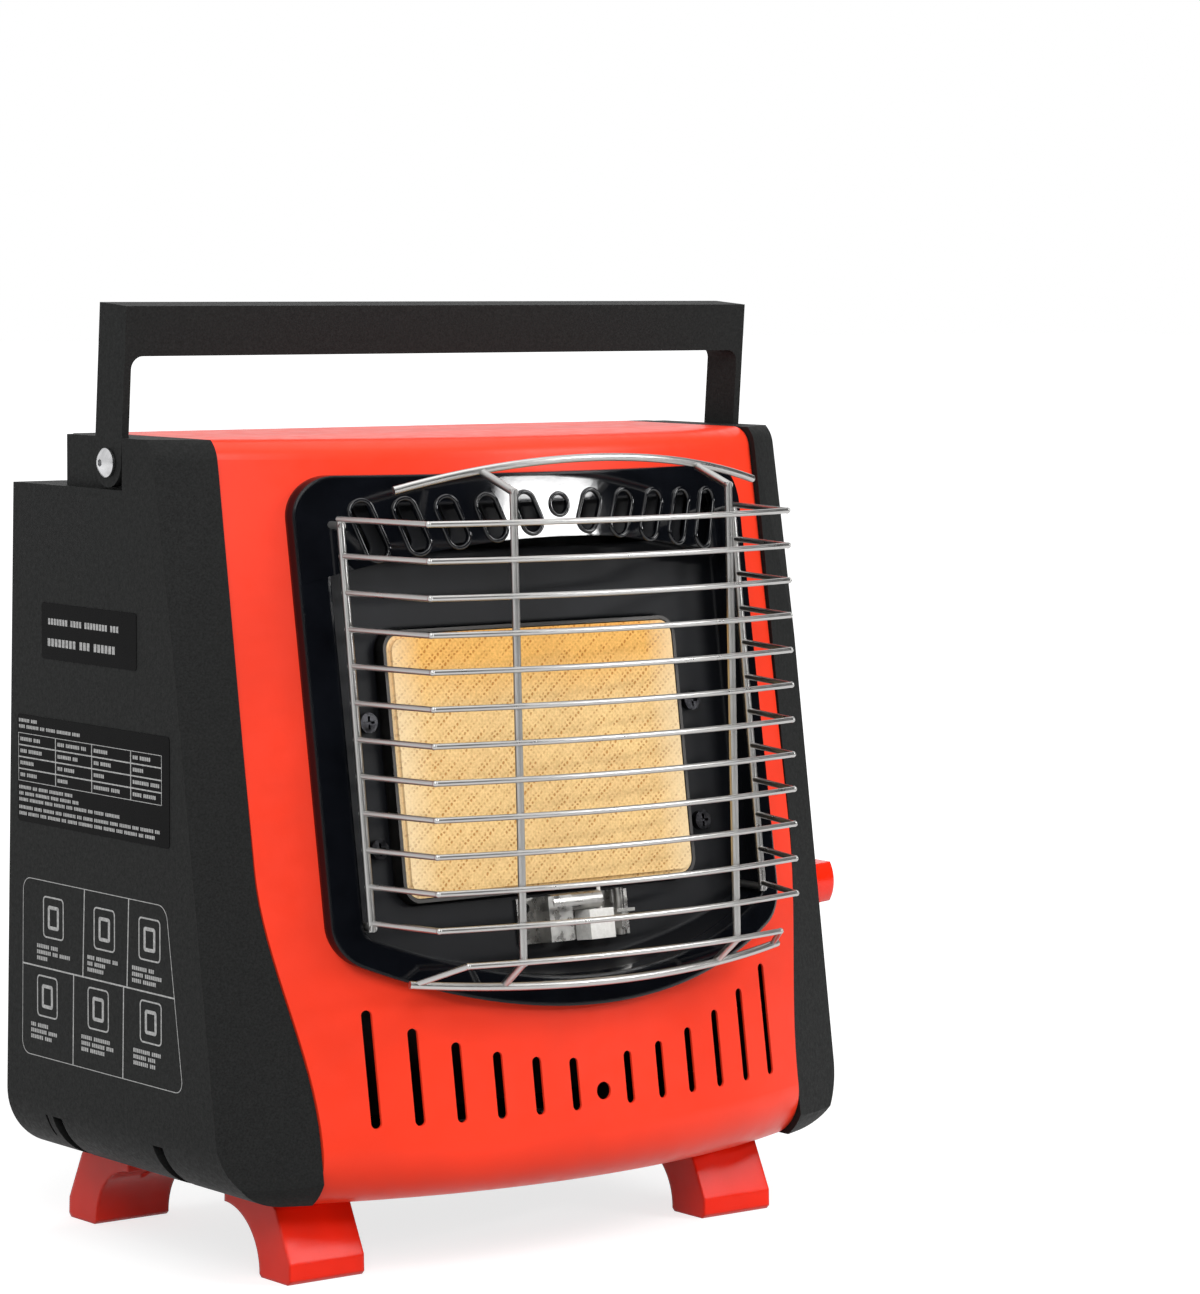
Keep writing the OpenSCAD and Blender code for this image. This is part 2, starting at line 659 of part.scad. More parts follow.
// cross wire: an arc between two bends and a straight end on each side
module cross_wire(half, r, z, tip) {
  y = arc_y(r, half);
  arc_wire(half, [y, z], [bow_y - r, z], wire_d);
  for (s = [0, 1]) mirror([s, 0, 0]) {
    rod([half, y, z], tip, wire_d);
    translate([half, y, z]) rotate([90, 0, 0]) sphere(d = wire_d * 1.1);
  }
}
module guard() color([0.8, 0.8, 0.8]) placed() for (i = [0:bar_n - 1]) {
  z = top_bar_z - i * bar_pitch;
  cross_wire(bar_half, axis_r + i * bar_step, z, [post_x + 0.3, post_y(z) + 0.8, z]);
}
// upright posts, hooked into the dish
module guard_posts() color([0.8, 0.8, 0.8]) placed() for (s = [-1, 1]) {
  for (z = [226, 108]) {
    hook_y = -77.9 + 0.1384 * (z - 108.8);
    rod([s * post_x, hook_y, z], [s * post_x, post_y(z) - 1, z], post_d);
  }
  rod([s * post_x, post_y(227.2), 227.2], [s * post_x, post_y(106.8), 106.8], post_d);
}
module guard_stays() color([0.8, 0.8, 0.8]) placed()
  for (s = [-1, 1]) wire([[s * stay_x, front_y + 20.1, 241.9], [s * stay_x, front_y + 4.9, 236.8],
    [s * stay_x, front_y - 1.1, 98], [s * stay_x, front_y + 9.5, 89.4]], post_d);
// brow wire and sill wire
module guard_hoops() color([0.8, 0.8, 0.8]) placed() {
  arc_wire(68.7, [front_y + 26.5, 237], [front_y + 17.3, 245.6], post_d);
  arc_wire(70.8, [front_y + 14.9, 92.2], [front_y + 4.8, 88.6], post_d);
}
// lowest cross wire, let down to the sill wire
module guard_low_wire() color([0.8, 0.8, 0.8]) placed()
  cross_wire(60, axis_r + bar_n * bar_step, top_bar_z - bar_n * bar_pitch, [68.9, front_y + 14.7, 92.2]);

// ---- gas side ----
tube_yz = burner_pt(17, -30);
seat_x = 82;
module regulator() color([0.6, 0.61, 0.62]) placed() difference() {
  union() {
    translate([seat_x + 6, bay_y - 26, bay_z - 16]) cube([chassis_x - seat_x - 7.3, 48, 40]);
    x_cyl(seat_x - 2, chassis_x - 1.3, bay_y, bay_z, 34);
    x_cyl(84, chassis_x - 1.3, knob_y, knob_z, 15);
    translate([84, knob_y - 5, knob_z - 16]) cube([14, 30, 22]);
  }
  x_cyl(seat_x - 3, seat_x + 8, bay_y, bay_z, 26);
  x_cyl(80, 110, knob_y, knob_z, stem_d + 2 * run_gap);
}
module valve_collar() color([0.78, 0.66, 0.35]) placed() difference() {
  x_cyl(seat_x, seat_x + 8, bay_y, bay_z, 14);
  x_cyl(seat_x - 1, seat_x + 6, bay_y, bay_z, 8);
}
module lock_lever() color([0.7, 0.7, 0.72]) placed() difference() {
  union() {
    x_cyl(seat_x, seat_x + 3, bay_y, bay_z, 44);
    translate([seat_x, bay_y - 4, bay_z + 17]) cube([3, 8, 27]);
    translate([seat_x - 8, bay_y - 4, bay_z + 41]) cube([11, 8, 3]);
  }
  x_cyl(seat_x - 2, seat_x + 8, bay_y, bay_z, 34 + 2 * run_gap);
}
module valve_stem() color([0.78, 0.66, 0.35]) placed() difference() {
  x_cyl(86, fold_x + 8, knob_y, knob_z, stem_d);
  translate([fold_x - 6, knob_y - 5, knob_z + stem_d / 2 - 1.2]) cube([20, 10, 4]);
}
module knob() color([0.85, 0.12, 0.05]) placed() difference() {
  union() {
    x_cyl(fold_x + 0.6, fold_x + 5, knob_y, knob_z, knob_d);
    x_cyl(fold_x - 4, fold_x + 3, knob_y, knob_z, 12);
    intersection() {
      translate([fold_x + 4, knob_y - 16, knob_z - 6.5]) cube([16, 32, 13]);
      translate([fold_x + 4, knob_y, knob_z]) rotate([0, 90, 0]) cylinder(h = 16, r1 = 15.2, r2 = 11);
    }
  }
  difference() {
    x_cyl(fold_x - 5, fold_x + 8.2, knob_y, knob_z, stem_d + 0.04);
    translate([fold_x - 6, knob_y - 5, knob_z + stem_d / 2 - 1.16]) cube([20, 10, 4]);
  }
  translate([fold_x + 19.2, knob_y - 10, knob_z - 0.6]) cube([2, 8, 1.2]);
}
module gas_pipe() color([0.8, 0.5, 0.3]) placed() {
  bends = [[91, -60, 92], [91, tube_yz[0], 104], [91, tube_yz[0], tube_yz[1]]];
  wire(concat([[91, knob_y - 4, 92]], bends, [[78.8, tube_yz[0], tube_yz[1]]]), 4, 0);
  for (p = bends) translate(p) sphere(d = 4.32);
}
module injector() color([0.78, 0.66, 0.35]) placed() difference() {
  x_cyl(66.4, 79, tube_yz[0], tube_yz[1], 8);
  x_cyl(66, 76, tube_yz[0], tube_yz[1], 1);
}
module cartridge_cradle() color([0.3, 0.3, 0.31]) placed() difference() {
  for (x = [-68, -2, 64]) translate([x, -38, base_z + 1.2]) cube([1.2, 68, 30]);
  x_cyl(-100, 80, bay_y, bay_z, 68.6);
}
module igniter() color([0.1, 0.1, 0.1]) placed() x_cyl(70, 84, knob_y, knob_z, 12);
module ignition_lead() color([0.85, 0.85, 0.82]) placed()
  wire([[70.4, knob_y, knob_z], [30, -62, 94], concat([13.7], burner_pt(pan_back + 8, -53)),
    concat([13.7], burner_pt(pan_back - 1.6, -53))], 2);

front_panel();
side_cover_left();
side_cover_right();
rear_panel();
base_plate();
chassis_left();
chassis_right();
heat_shield();
cover_screws();
rear_door();
door_pins();
handle();
handle_screws();
foot_front_left();
foot_front_right();
foot_rear_left();
foot_rear_right();
foot_screws();
reflector();
guard();
guard_posts();
guard_stays();
guard_hoops();
guard_low_wire();
burner_box();
burner_tile();
burner_screws();
pilot_bracket();
electrode();
thermocouple();
regulator();
valve_collar();
lock_lever();
valve_stem();
knob();
gas_pipe();
injector();
cartridge_cradle();
igniter();
ignition_lead();
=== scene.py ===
import math

import bpy
from mathutils import Matrix, Vector


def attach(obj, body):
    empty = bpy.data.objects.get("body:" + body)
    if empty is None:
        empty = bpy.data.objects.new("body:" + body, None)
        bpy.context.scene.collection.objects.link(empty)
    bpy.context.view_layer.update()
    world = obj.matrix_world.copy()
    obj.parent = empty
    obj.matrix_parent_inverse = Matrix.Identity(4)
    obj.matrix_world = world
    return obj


bl_info = {
    "name": "Cabinet Heater Builder",
    "version": (1, 0, 0),
    "blender": (4, 5, 0),
    "location": "View3D > Sidebar > Heater",
    "description": "Dresses the packed cabinet heater with finishes, trim, lights and a camera",
    "category": "Object",
}

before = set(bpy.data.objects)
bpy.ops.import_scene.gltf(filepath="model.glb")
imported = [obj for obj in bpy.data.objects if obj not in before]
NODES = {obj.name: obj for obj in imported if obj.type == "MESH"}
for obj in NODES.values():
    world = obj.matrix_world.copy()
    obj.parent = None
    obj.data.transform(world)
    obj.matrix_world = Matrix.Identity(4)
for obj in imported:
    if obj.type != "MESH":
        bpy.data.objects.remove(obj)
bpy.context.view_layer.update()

# ---------------------------------------------------------------- measures, in millimetres

# from the heater's own middle plane to the shared frame, and a millimetre in metres
SHIFT = Vector((-8.75, 44.58, 0.0))
MM = 0.001

# the bowed front is part of a cone round an upright axis, with its radius at a height
LEAN = math.radians(9.0)
BOW_Y = 130.0
MID_RADIUS = 226.6
MID_HEIGHT = 157.0

# the brow's face plate: how far it stands out, its outline, its bends and the arch in its foot
BROW_OUT = 4.15
BROW_HALF = 85.0
BROW_FOOT, BROW_TOP = 200.0, 239.5
BROW_CORNER = 12.0
BROW_THICK = 0.9
BROW_BEND = 4
ARCH_RADIUS, ARCH_TOP = 300.0, 221.0
CUT_DEPTH = 10.0

# its slanting slots, counted outwards from the middle, with the step from one slot to the next,
# and their raised lips
SLOTS_A_SIDE = 5
SLOT_START, SLOT_STEP = -3.6, 13.05
SLOT_FOOT, FOOT_STEP = 224.6, -1.75
SLOT_TOP, TOP_STEP = 234.4, -0.35
SLOT_WIDTH = 6.2
SLOT_LEAN = math.radians(22.0)
EYE = (0.0, 230.6)
EYE_RADIUS = 2.8
LIP_OFF = 0.6
SLOT_LIP, EYE_LIP = 0.7, 0.6

# the left cover's outer face, and the fields on it as front end, rear end, foot and top
COVER_FACE = -120.0
UPPER_PLATE = (-39.3, 14.4, 182.0, 199.2)
RATING_PLATE = (-57.2, 28.9, 130.5, 163.8)
PLATE_LIFT, PLATE_THICK = 0.16, 0.15
TABLE = (-53.1, 28.4, 143.0, 158.0)
TABLE_COLUMNS = (6.6, -14.2, -36.1)
TABLE_ROWS = (146.8, 150.5, 154.2)
TABLE_RULE = 0.21

# the net of six cells: its ends at the foot and at the top, and where the lines between them stand
CELLS_FOOT = (-64.3, 27.2, 58.0)
CELLS_TOP = (-55.2, 26.2, 113.3)
CELLS_MIDDLE = 86.2
CELLS_CORNER, CELLS_RULE = 4.2, 0.24
UPPER_LINES, UPPER_SLANT = (-8.5, -33.5), 0.04
LOWER_LINES, LOWER_SLANT = (-3.2, -31.6), 0.02

# print: how far it stands over the cover and over a plate, and its thickness
ON_COVER, ON_PLATE = 0.05, 0.2
PRINT_THICK = 0.04
RUN_LENGTHS = (7, 4, 8, 3, 6, 9, 5)

# lines of blocks on the upper plate: start, end, height, size and first run
UPPER_BLOCKS = ((10.5, -34.5, 193.6, 1.9, 0), (10.8, -34.5, 187.2, 2.4, 2))

# lines of blocks above and below the table: height and end
RATING_BLOCKS = (
    (161.9, 10.0),
    (160.0, -12.0),
    (141.1, -6.0),
    (139.2, -14.0),
    (137.3, -34.0),
    (134.9, -54.0),
    (133.0, -54.0),
)
RATING_START, RATING_SIZE = 28.0, 1.05

# blocks in the table: starts of the columns, middles of the rows, and reaches that take turns
TABLE_STARTS = (27.2, 5.4, -15.4, -37.3)
TABLE_MIDDLES = (156.1, 152.4, 148.7, 145.0)
TABLE_REACHES = (13.0, 17.0, 9.0, 15.0)
TABLE_SIZE = 1.15

# in each cell: its middle, two empty fields as width, height, corner and line, and lines of blocks
CELL_MIDDLES = (
    (8.5, 99.5),
    (-20.8, 99.5),
    (-46.0, 99.5),
    (12.2, 74.6),
    (-17.2, 74.6),
    (-46.6, 74.6),
)
CELL_FIELDS = ((12.0, 13.0, 1.6, 0.5), (6.4, 7.4, 1.0, 1.1))
FIELDS_UP = 2.6
CELL_REACHES = (19.0, 20.0, 15.0)
CELL_START, CELL_DOWN, CELL_LINE, CELL_SIZE = 9.6, 6.8, 1.9, 1.2

# lamps: setting of their power, place, target, width and height in metres, and roll in degrees
MIDDLE = (0, -40, 130)
LAMPS = {
    "key_light": ("key_power", (-760, -1100, 1000), MIDDLE, (0.7, 0.7), 0.0),
    "side_light": ("side_power", (876, -935, 893), (-20, -70, 90), (0.5, 0.4), 0.0),
    "glint_light": ("glint_power", (-1010, -1290, 560), MIDDLE, (0.08, 0.5), 0.0),
    "top_light": ("top_power", (0, -100, 1300), MIDDLE, (1.2, 1.0), 0.0),
    "brow_light": ("brow_power", (696.0, -1036.1, 461.7), (-3.6, -89.3, 228.9), (0.44, 0.04), -6.0),
}

# floor: its size and the distances over which its white grows, in metres, its own grey,
# and its white near by and far off
FLOOR_SIZE = 24.0
FLOOR_NEAR, FLOOR_FAR = 0.35, 1.1
FLOOR_GREY = 0.42
WHITE_NEAR, WHITE_FAR = 0.76, 1.0

# dark screen: its radius and height in metres, and the angles between which it stands, in degrees
SCREEN_RADIUS, SCREEN_HEIGHT = 2.4, 2.2
SCREEN_LEFT, SCREEN_RIGHT = -62.0, 112.0

# camera: direction, rise and roll in degrees, the point that it aims at, and distance in metres
CAMERA_TURN, CAMERA_RISE, CAMERA_ROLL = 38.263, 4.928, 0.355
CAMERA_AIM = (86.516, 0.0, 176.382)
CAMERA_DISTANCE = 1.51718
CAMERA_LENS, CAMERA_SENSOR = 127.025, 36.0

# lying shapes are made facing up, and stood up to face the front or the left
UPRIGHT = Matrix.Rotation(math.radians(90), 4, "X")
FACING_LEFT = Matrix(((0, 0, -1, 0), (-1, 0, 0, 0), (0, 1, 0, 0), (0, 0, 0, 1)))


def at(x, y, z):
    """A point in the heater's own millimetres, as metres in the shared frame."""
    return (Vector((x, y, z)) + SHIFT) * MM


def bow_radius(z, out=0.0):
    """Radius of the bowed front at a height, grown outwards, in millimetres."""
    return MID_RADIUS - math.tan(LEAN) * (z - MID_HEIGHT) + out / math.cos(LEAN)


def on_bow(x, z, out):
    """Place and turn of a piece that lies on the bowed front."""
    r = bow_radius(z, out)
    a = math.asin(x / r)
    place = at(x, BOW_Y - r * math.cos(a), z)
    turn = Matrix.Rotation(a, 4, "Z") @ Matrix.Rotation(-LEAN, 4, "X")
    return Matrix.Translation(place) @ turn


# ---------------------------------------------------------------- node helpers


def blank_finish(name):
    """A material with one Principled surface and nothing on it yet."""
    mat = bpy.data.materials.new(name)
    mat.use_nodes = True
    tree = mat.node_tree
    tree.nodes.clear()
    out = tree.nodes.new("ShaderNodeOutputMaterial")
    skin = tree.nodes.new("ShaderNodeBsdfPrincipled")
    tree.links.new(skin.outputs["BSDF"], out.inputs["Surface"])
    return mat, tree, skin


def object_space(tree, turn=(0, 0, 0), shift=(0, 0, 0)):
    """Object coordinates through a Mapping node."""
    coord = tree.nodes.new("ShaderNodeTexCoord")
    mapping = tree.nodes.new("ShaderNodeMapping")
    mapping.inputs["Location"].default_value = shift
    mapping.inputs["Rotation"].default_value = turn
    tree.links.new(coord.outputs["Object"], mapping.inputs["Vector"])
    return mapping.outputs["Vector"]


def mottle(tree, scale, detail=3.0, roughness=0.55):
    """Noise on Object coordinates."""
    noise = tree.nodes.new("ShaderNodeTexNoise")
    noise.inputs["Scale"].default_value = scale
    noise.inputs["Detail"].default_value = detail
    noise.inputs["Roughness"].default_value = roughness
    tree.links.new(object_space(tree), noise.inputs["Vector"])
    return noise.outputs["Fac"]


def tint(tree, factor, *stops):
    """Colour ramp: stops are (position, colour)."""
    node = tree.nodes.new("ShaderNodeValToRGB")
    ramp = node.color_ramp
    while len(ramp.elements) < len(stops):
        ramp.elements.new(0.5)
    for element, (position, colour) in zip(ramp.elements, stops):
        element.position = position
        element.color = (*colour, 1.0)
    tree.links.new(factor, node.inputs["Fac"])
    return node.outputs["Color"]


def span(tree, factor, low, high, source=(0.3, 0.7)):
    """Maps a factor onto a range of values."""
    node = tree.nodes.new("ShaderNodeMapRange")
    node.inputs["From Min"].default_value = source[0]
    node.inputs["From Max"].default_value = source[1]
    node.inputs["To Min"].default_value = low
    node.inputs["To Max"].default_value = high
    tree.links.new(factor, node.inputs["Value"])
    return node.outputs["Result"]


def maths(tree, operation, a, b=0.0):
    """A Math node over sockets or numbers."""
    node = tree.nodes.new("ShaderNodeMath")
    node.operation = operation
    for socket, value in zip(node.inputs, (a, b)):
        if isinstance(value, (int, float)):
            socket.default_value = value
        else:
            tree.links.new(value, socket)
    return node.outputs["Value"]


def relief(tree, skin, height, depth, strength=1.0, under=None):
    """Bump of a depth in millimetres, over another bump if one is given."""
    node = tree.nodes.new("ShaderNodeBump")
    node.inputs["Strength"].default_value = strength
    node.inputs["Distance"].default_value = depth * MM
    tree.links.new(height, node.inputs["Height"])
    if under is not None:
        tree.links.new(under, node.inputs["Normal"])
    tree.links.new(node.outputs["Normal"], skin.inputs["Normal"])
    return node.outputs["Normal"]


def rounding(tree, radius):
    """Softly rounded edges of a radius in millimetres."""
    node = tree.nodes.new("ShaderNodeBevel")
    node.samples = 6
    node.inputs["Radius"].default_value = radius * MM
    return node.outputs["Normal"]


def seen_directly(tree):
    """One where the eye, a reflection or a view through glass meets it, else nothing."""
    path = tree.nodes.new("ShaderNodeLightPath")
    seen = maths(tree, "MAXIMUM", path.outputs["Is Camera Ray"], path.outputs["Is Glossy Ray"])
    return maths(tree, "MAXIMUM", seen, path.outputs["Is Transmission Ray"])


def shade(colour, k):
    """A colour made lighter or darker."""
    return tuple(min(1.0, c * k) for c in colour[:3])


def drift(tree, factor, colour, dark, light):
    """A colour that drifts from darker to lighter with a noise."""
    return tint(tree, factor, (0.3, shade(colour, dark)), (0.7, shade(colour, light)))


def coat(tree, skin, colour, roughness, specular=None):
    """Puts a colour and a roughness on a surface, and a level of plain reflection if given."""
    tree.links.new(colour, skin.inputs["Base Color"])
    tree.links.new(roughness, skin.inputs["Roughness"])
    if specular is not None:
        skin.inputs["Specular IOR Level"].default_value = specular


# ---------------------------------------------------------------- finishes


def enamelled_red(settings):
    """Red powder coat: faint orange peel under a soft gloss."""
    mat, tree, skin = blank_finish("red_powder_coat")
    colour = drift(tree, mottle(tree, 28.0, 2.0), settings.red, 0.93, 1.05)
    coat(tree, skin, colour, span(tree, mottle(tree, 160.0), 0.30, 0.40), 0.2)
    relief(tree, skin, mottle(tree, 620.0, 2.0), 0.05, 0.35)
    return mat


def gloss_red(settings):
    """Glossy red moulding of the feet and the knob."""
    mat, tree, skin = blank_finish("red_moulding")
    colour = drift(tree, mottle(tree, 45.0, 2.0), settings.red_moulding, 0.9, 1.06)
    coat(tree, skin, colour, span(tree, mottle(tree, 210.0), 0.16, 0.26), 0.18)
    relief(tree, skin, mottle(tree, 240.0, 2.0), 0.06, 0.3, rounding(tree, 1.4))
    return mat


def grained_black(settings):
    """Spark-eroded black plastic of the covers, the door and the handle."""
    mat, tree, skin = blank_finish("grained_black_plastic")
    black = settings.black
    speck = mottle(tree, 1500.0, 4.0, 0.7)
    colour = tint(tree, speck, (0.32, shade(black, 0.6)), (0.7, shade(black, 1.5)))
    coat(tree, skin, colour, span(tree, mottle(tree, 700.0, 3.0), 0.52, 0.68), 0.1)
    fine = relief(tree, skin, speck, 0.12, 0.45)
    relief(tree, skin, mottle(tree, 18.0, 1.0), 0.4, 0.12, fine)
    return mat


def black_sheet(settings):
    """Satin black paint on folded sheet."""
    mat, tree, skin = blank_finish("black_satin_paint")
    colour = drift(tree, mottle(tree, 90.0), settings.black, 0.7, 1.25)
    coat(tree, skin, colour, span(tree, mottle(tree, 240.0), 0.34, 0.46), 0.35)
    relief(tree, skin, mottle(tree, 700.0, 2.0), 0.05, 0.35)
    return mat


def stands_out(tree):
    """How far a point stands out from the bowed front, in metres."""
    parts = tree.nodes.new("ShaderNodeSeparateXYZ")
    axis = at(0.0, BOW_Y, 0.0)
    tree.links.new(object_space(tree, shift=-axis), parts.inputs["Vector"])
    x, y, z = parts.outputs
    reach = maths(tree, "ADD", maths(tree, "MULTIPLY", x, x), maths(tree, "MULTIPLY", y, y))
    surface = maths(tree, "MULTIPLY", z, -math.tan(LEAN))
    surface = maths(tree, "ADD", surface, bow_radius(0.0) * MM)
    return maths(tree, "SUBTRACT", maths(tree, "SQRT", reach), surface)


def black_enamel(settings, name, shine, edge=None):
    """Vitreous black enamel: wet and slightly uneven on the face, dulled in the dish by heat."""
    mat, tree, skin = blank_finish(name)
    colour = drift(tree, mottle(tree, 60.0), settings.enamel, 0.7, 1.4)
    wet = span(tree, mottle(tree, 110.0), 0.05, 0.11)
    dull = span(tree, stands_out(tree), 0.46, 0.05, (-3.0 * MM, 0.5 * MM))
    coat(tree, skin, colour, maths(tree, "MAXIMUM", wet, dull), shine)
    rounded = rounding(tree, edge) if edge else None
    slow = relief(tree, skin, mottle(tree, 55.0, 2.0), 0.1, 0.2, rounded)
    relief(tree, skin, mottle(tree, 330.0, 2.0), 0.02, 0.2, slow)
    return mat


def bright_wire(settings):
    """Bright drawn wire with faint draw marks."""
    mat, tree, skin = blank_finish("bright_steel_wire")
    colour = drift(tree, mottle(tree, 60.0, 2.0, 0.5), settings.steel, 0.95, 1.04)
    coat(tree, skin, colour, span(tree, mottle(tree, 120.0), 0.27, 0.33))
    skin.inputs["Metallic"].default_value = 1.0
    relief(tree, skin, mottle(tree, 500.0, 1.0), 0.004, 0.2)
    return mat


def plated(name, colour, low, high, scale=300.0):
    """Bare or plated metal, with its roughness between two levels."""
    mat, tree, skin = blank_finish(name)
    patches = mottle(tree, scale, 4.0, 0.6)
    coat(tree, skin, drift(tree, patches, colour, 0.72, 1.08), span(tree, patches, low, high))
    skin.inputs["Metallic"].default_value = 1.0
    relief(tree, skin, mottle(tree, scale * 3.0), 0.05, 0.35)
    return mat


def glazed_white():
    """White glazed ceramic of the spark block."""
    mat, tree, skin = blank_finish("white_glazed_ceramic")
    dull, clean = (0.80, 0.79, 0.75), (0.92, 0.91, 0.88)
    colour = tint(tree, mottle(tree, 400.0), (0.3, dull), (0.7, clean))
    coat(tree, skin, colour, span(tree, mottle(tree, 700.0), 0.2, 0.34))
    relief(tree, skin, mottle(tree, 900.0), 0.05, 0.3)
    return mat


def silicone():
    """Black silicone sleeve of the spark lead."""
    mat, tree, skin = blank_finish("black_silicone")
    dark, pale = (0.010, 0.010, 0.010), (0.020, 0.020, 0.020)
    colour = tint(tree, mottle(tree, 300.0), (0.3, dark), (0.7, pale))
    coat(tree, skin, colour, span(tree, mottle(tree, 500.0), 0.42, 0.55), 0.25)
    relief(tree, skin, mottle(tree, 900.0), 0.06, 0.3)
    return mat


def blended(tree, factor, first, second, kind="MIX"):
    """Mixes two colours, each a socket or a plain colour, by a socket or a number."""
    first_colour, second_colour, mixed_colour = 6, 7, 2
    node = tree.nodes.new("ShaderNodeMix")
    node.data_type = "RGBA"
    node.blend_type = kind
    if isinstance(factor, float):
        node.inputs["Factor"].default_value = factor
    else:
        tree.links.new(factor, node.inputs["Factor"])
    for socket, value in ((first_colour, first), (second_colour, second)):
        if isinstance(value, tuple):
            node.inputs[socket].default_value = (*value, 1.0)
        else:
            tree.links.new(value, node.inputs[socket])
    return node.outputs[mixed_colour]


def plaque_ceramic(settings):
    """Porous burner plaque: slanting rows of fine holes with painted shade in their mouths, and a
    darker, more orange band along its top.
    """
    mat, tree, skin = blank_finish("perforated_plaque")
    parts = tree.nodes.new("ShaderNodeSeparateXYZ")
    tree.links.new(object_space(tree, (LEAN, 0.0, 0.0)), parts.inputs["Vector"])
    across, up = parts.outputs["X"], parts.outputs["Z"]
    # the rows rise towards the right; the holes stand along them in a slanting lattice
    pitch = settings.hole_pitch * MM
    along_spread, over_spread = 1.0, 0.86
    lean = math.radians(38.0)
    along = maths(
        tree,
        "ADD",
        maths(tree, "MULTIPLY", across, math.cos(lean)),
        maths(tree, "MULTIPLY", up, math.sin(lean)),
    )
    over = maths(
        tree,
        "SUBTRACT",
        maths(tree, "MULTIPLY", up, math.cos(lean)),
        maths(tree, "MULTIPLY", across, math.sin(lean)),
    )
    stray = maths(tree, "MULTIPLY", maths(tree, "SUBTRACT", mottle(tree, 330.0, 2.0), 0.5), 0.9)
    distance = None
    for line, spread in ((along, along_spread), (over, over_spread)):
        cell = maths(tree, "ADD", maths(tree, "DIVIDE", line, pitch * spread), stray)
        off = maths(tree, "SUBTRACT", maths(tree, "FRACT", cell), 0.5)
        square = maths(tree, "MULTIPLY", off, off)
        distance = square if distance is None else maths(tree, "ADD", distance, square)
    mouths = span(tree, maths(tree, "SQRT", distance), 1.0, 0.0, (0.20, 0.36))
    # every third row is deeper, in the bump and in the painted shade, more so in short runs
    three_rows = 2 * math.pi / (pitch * 3 * over_spread)
    rows = maths(tree, "SINE", maths(tree, "MULTIPLY", over, three_rows))
    rows = span(tree, rows, 0.25, 1.0, (-0.4, 0.9))
    runs = span(tree, mottle(tree, 190.0, 2.0), 0.0, 1.0, (0.42, 0.60))
    deep = maths(tree, "MULTIPLY", rows, maths(tree, "ADD", runs, 0.45))
    holes = maths(tree, "MINIMUM", maths(tree, "MULTIPLY", mouths, deep), 1.0)
    base = drift(tree, mottle(tree, 70.0, 3.0), settings.plaque, 0.93, 1.05)
    grey, white = (0.80, 0.76, 0.68), (1.0, 1.0, 1.0)
    grit = tint(tree, mottle(tree, 1100.0, 2.0, 0.7), (0.35, grey), (0.65, white))
    base = blended(tree, 0.8, base, grit, "MULTIPLY")
    # painted shade in the mouths of the holes, darker in the deeper rows
    hole_shade = span(tree, holes, 0.0, 0.78, (0.0, 1.0))
    shaded_plaque = blended(tree, hole_shade, base, tuple(settings.plaque_hole_shade))
    # darker and more orange above an uneven line
    edge = maths(tree, "ADD", up, maths(tree, "MULTIPLY", mottle(tree, 55.0), 0.010))
    height = settings.band_height
    top_band = span(tree, edge, 0.0, 1.0, (height, height + 0.016))
    shaded_plaque = blended(tree, top_band, shaded_plaque, (1.0, 0.81, 0.50), "MULTIPLY")
    # paler towards the two upright edges
    side = maths(tree, "ABSOLUTE", maths(tree, "SUBTRACT", across, SHIFT.x * MM))
    pale_edge = span(tree, side, 0.0, 0.55, (0.043, 0.053))
    shaded_plaque = blended(tree, pale_edge, shaded_plaque, (0.98, 0.80, 0.52))
    coat(tree, skin, shaded_plaque, span(tree, mottle(tree, 500.0), 0.75, 0.92), 0.2)
    relief(tree, skin, maths(tree, "SUBTRACT", 1.0, holes), 0.3, 0.6)
    return mat


def blank_label():
    """Black film of the blank plates."""
    mat, tree, skin = blank_finish("black_label_film")
    dark, pale = (0.0022, 0.0022, 0.0024), (0.0040, 0.0040, 0.0042)
    colour = tint(tree, mottle(tree, 120.0), (0.3, dark), (0.7, pale))
    coat(tree, skin, colour, span(tree, mottle(tree, 300.0), 0.22, 0.3), 0.03)
    relief(tree, skin, mottle(tree, 60.0), 0.08, 0.2)
    return mat


def white_print():
    """White pad print."""
    mat, tree, skin = blank_finish("white_pad_print")
    thin, full = (0.34, 0.34, 0.34), (0.62, 0.62, 0.61)
    colour = tint(tree, mottle(tree, 900.0), (0.3, thin), (0.7, full))
    coat(tree, skin, colour, span(tree, mottle(tree, 500.0), 0.5, 0.6))
    relief(tree, skin, mottle(tree, 1200.0), 0.03, 0.3)
    return mat


# ---------------------------------------------------------------- settings


def colour_setting(name, description, default):
    return bpy.props.FloatVectorProperty(
        name=name,
        description=description,
        default=default,
        subtype="COLOR",
        size=3,
        min=0.0,
        max=1.0,
    )


def power_setting(name, description, default):
    return bpy.props.FloatProperty(
        name=name, description=description, default=default, min=0.0, unit="POWER"
    )


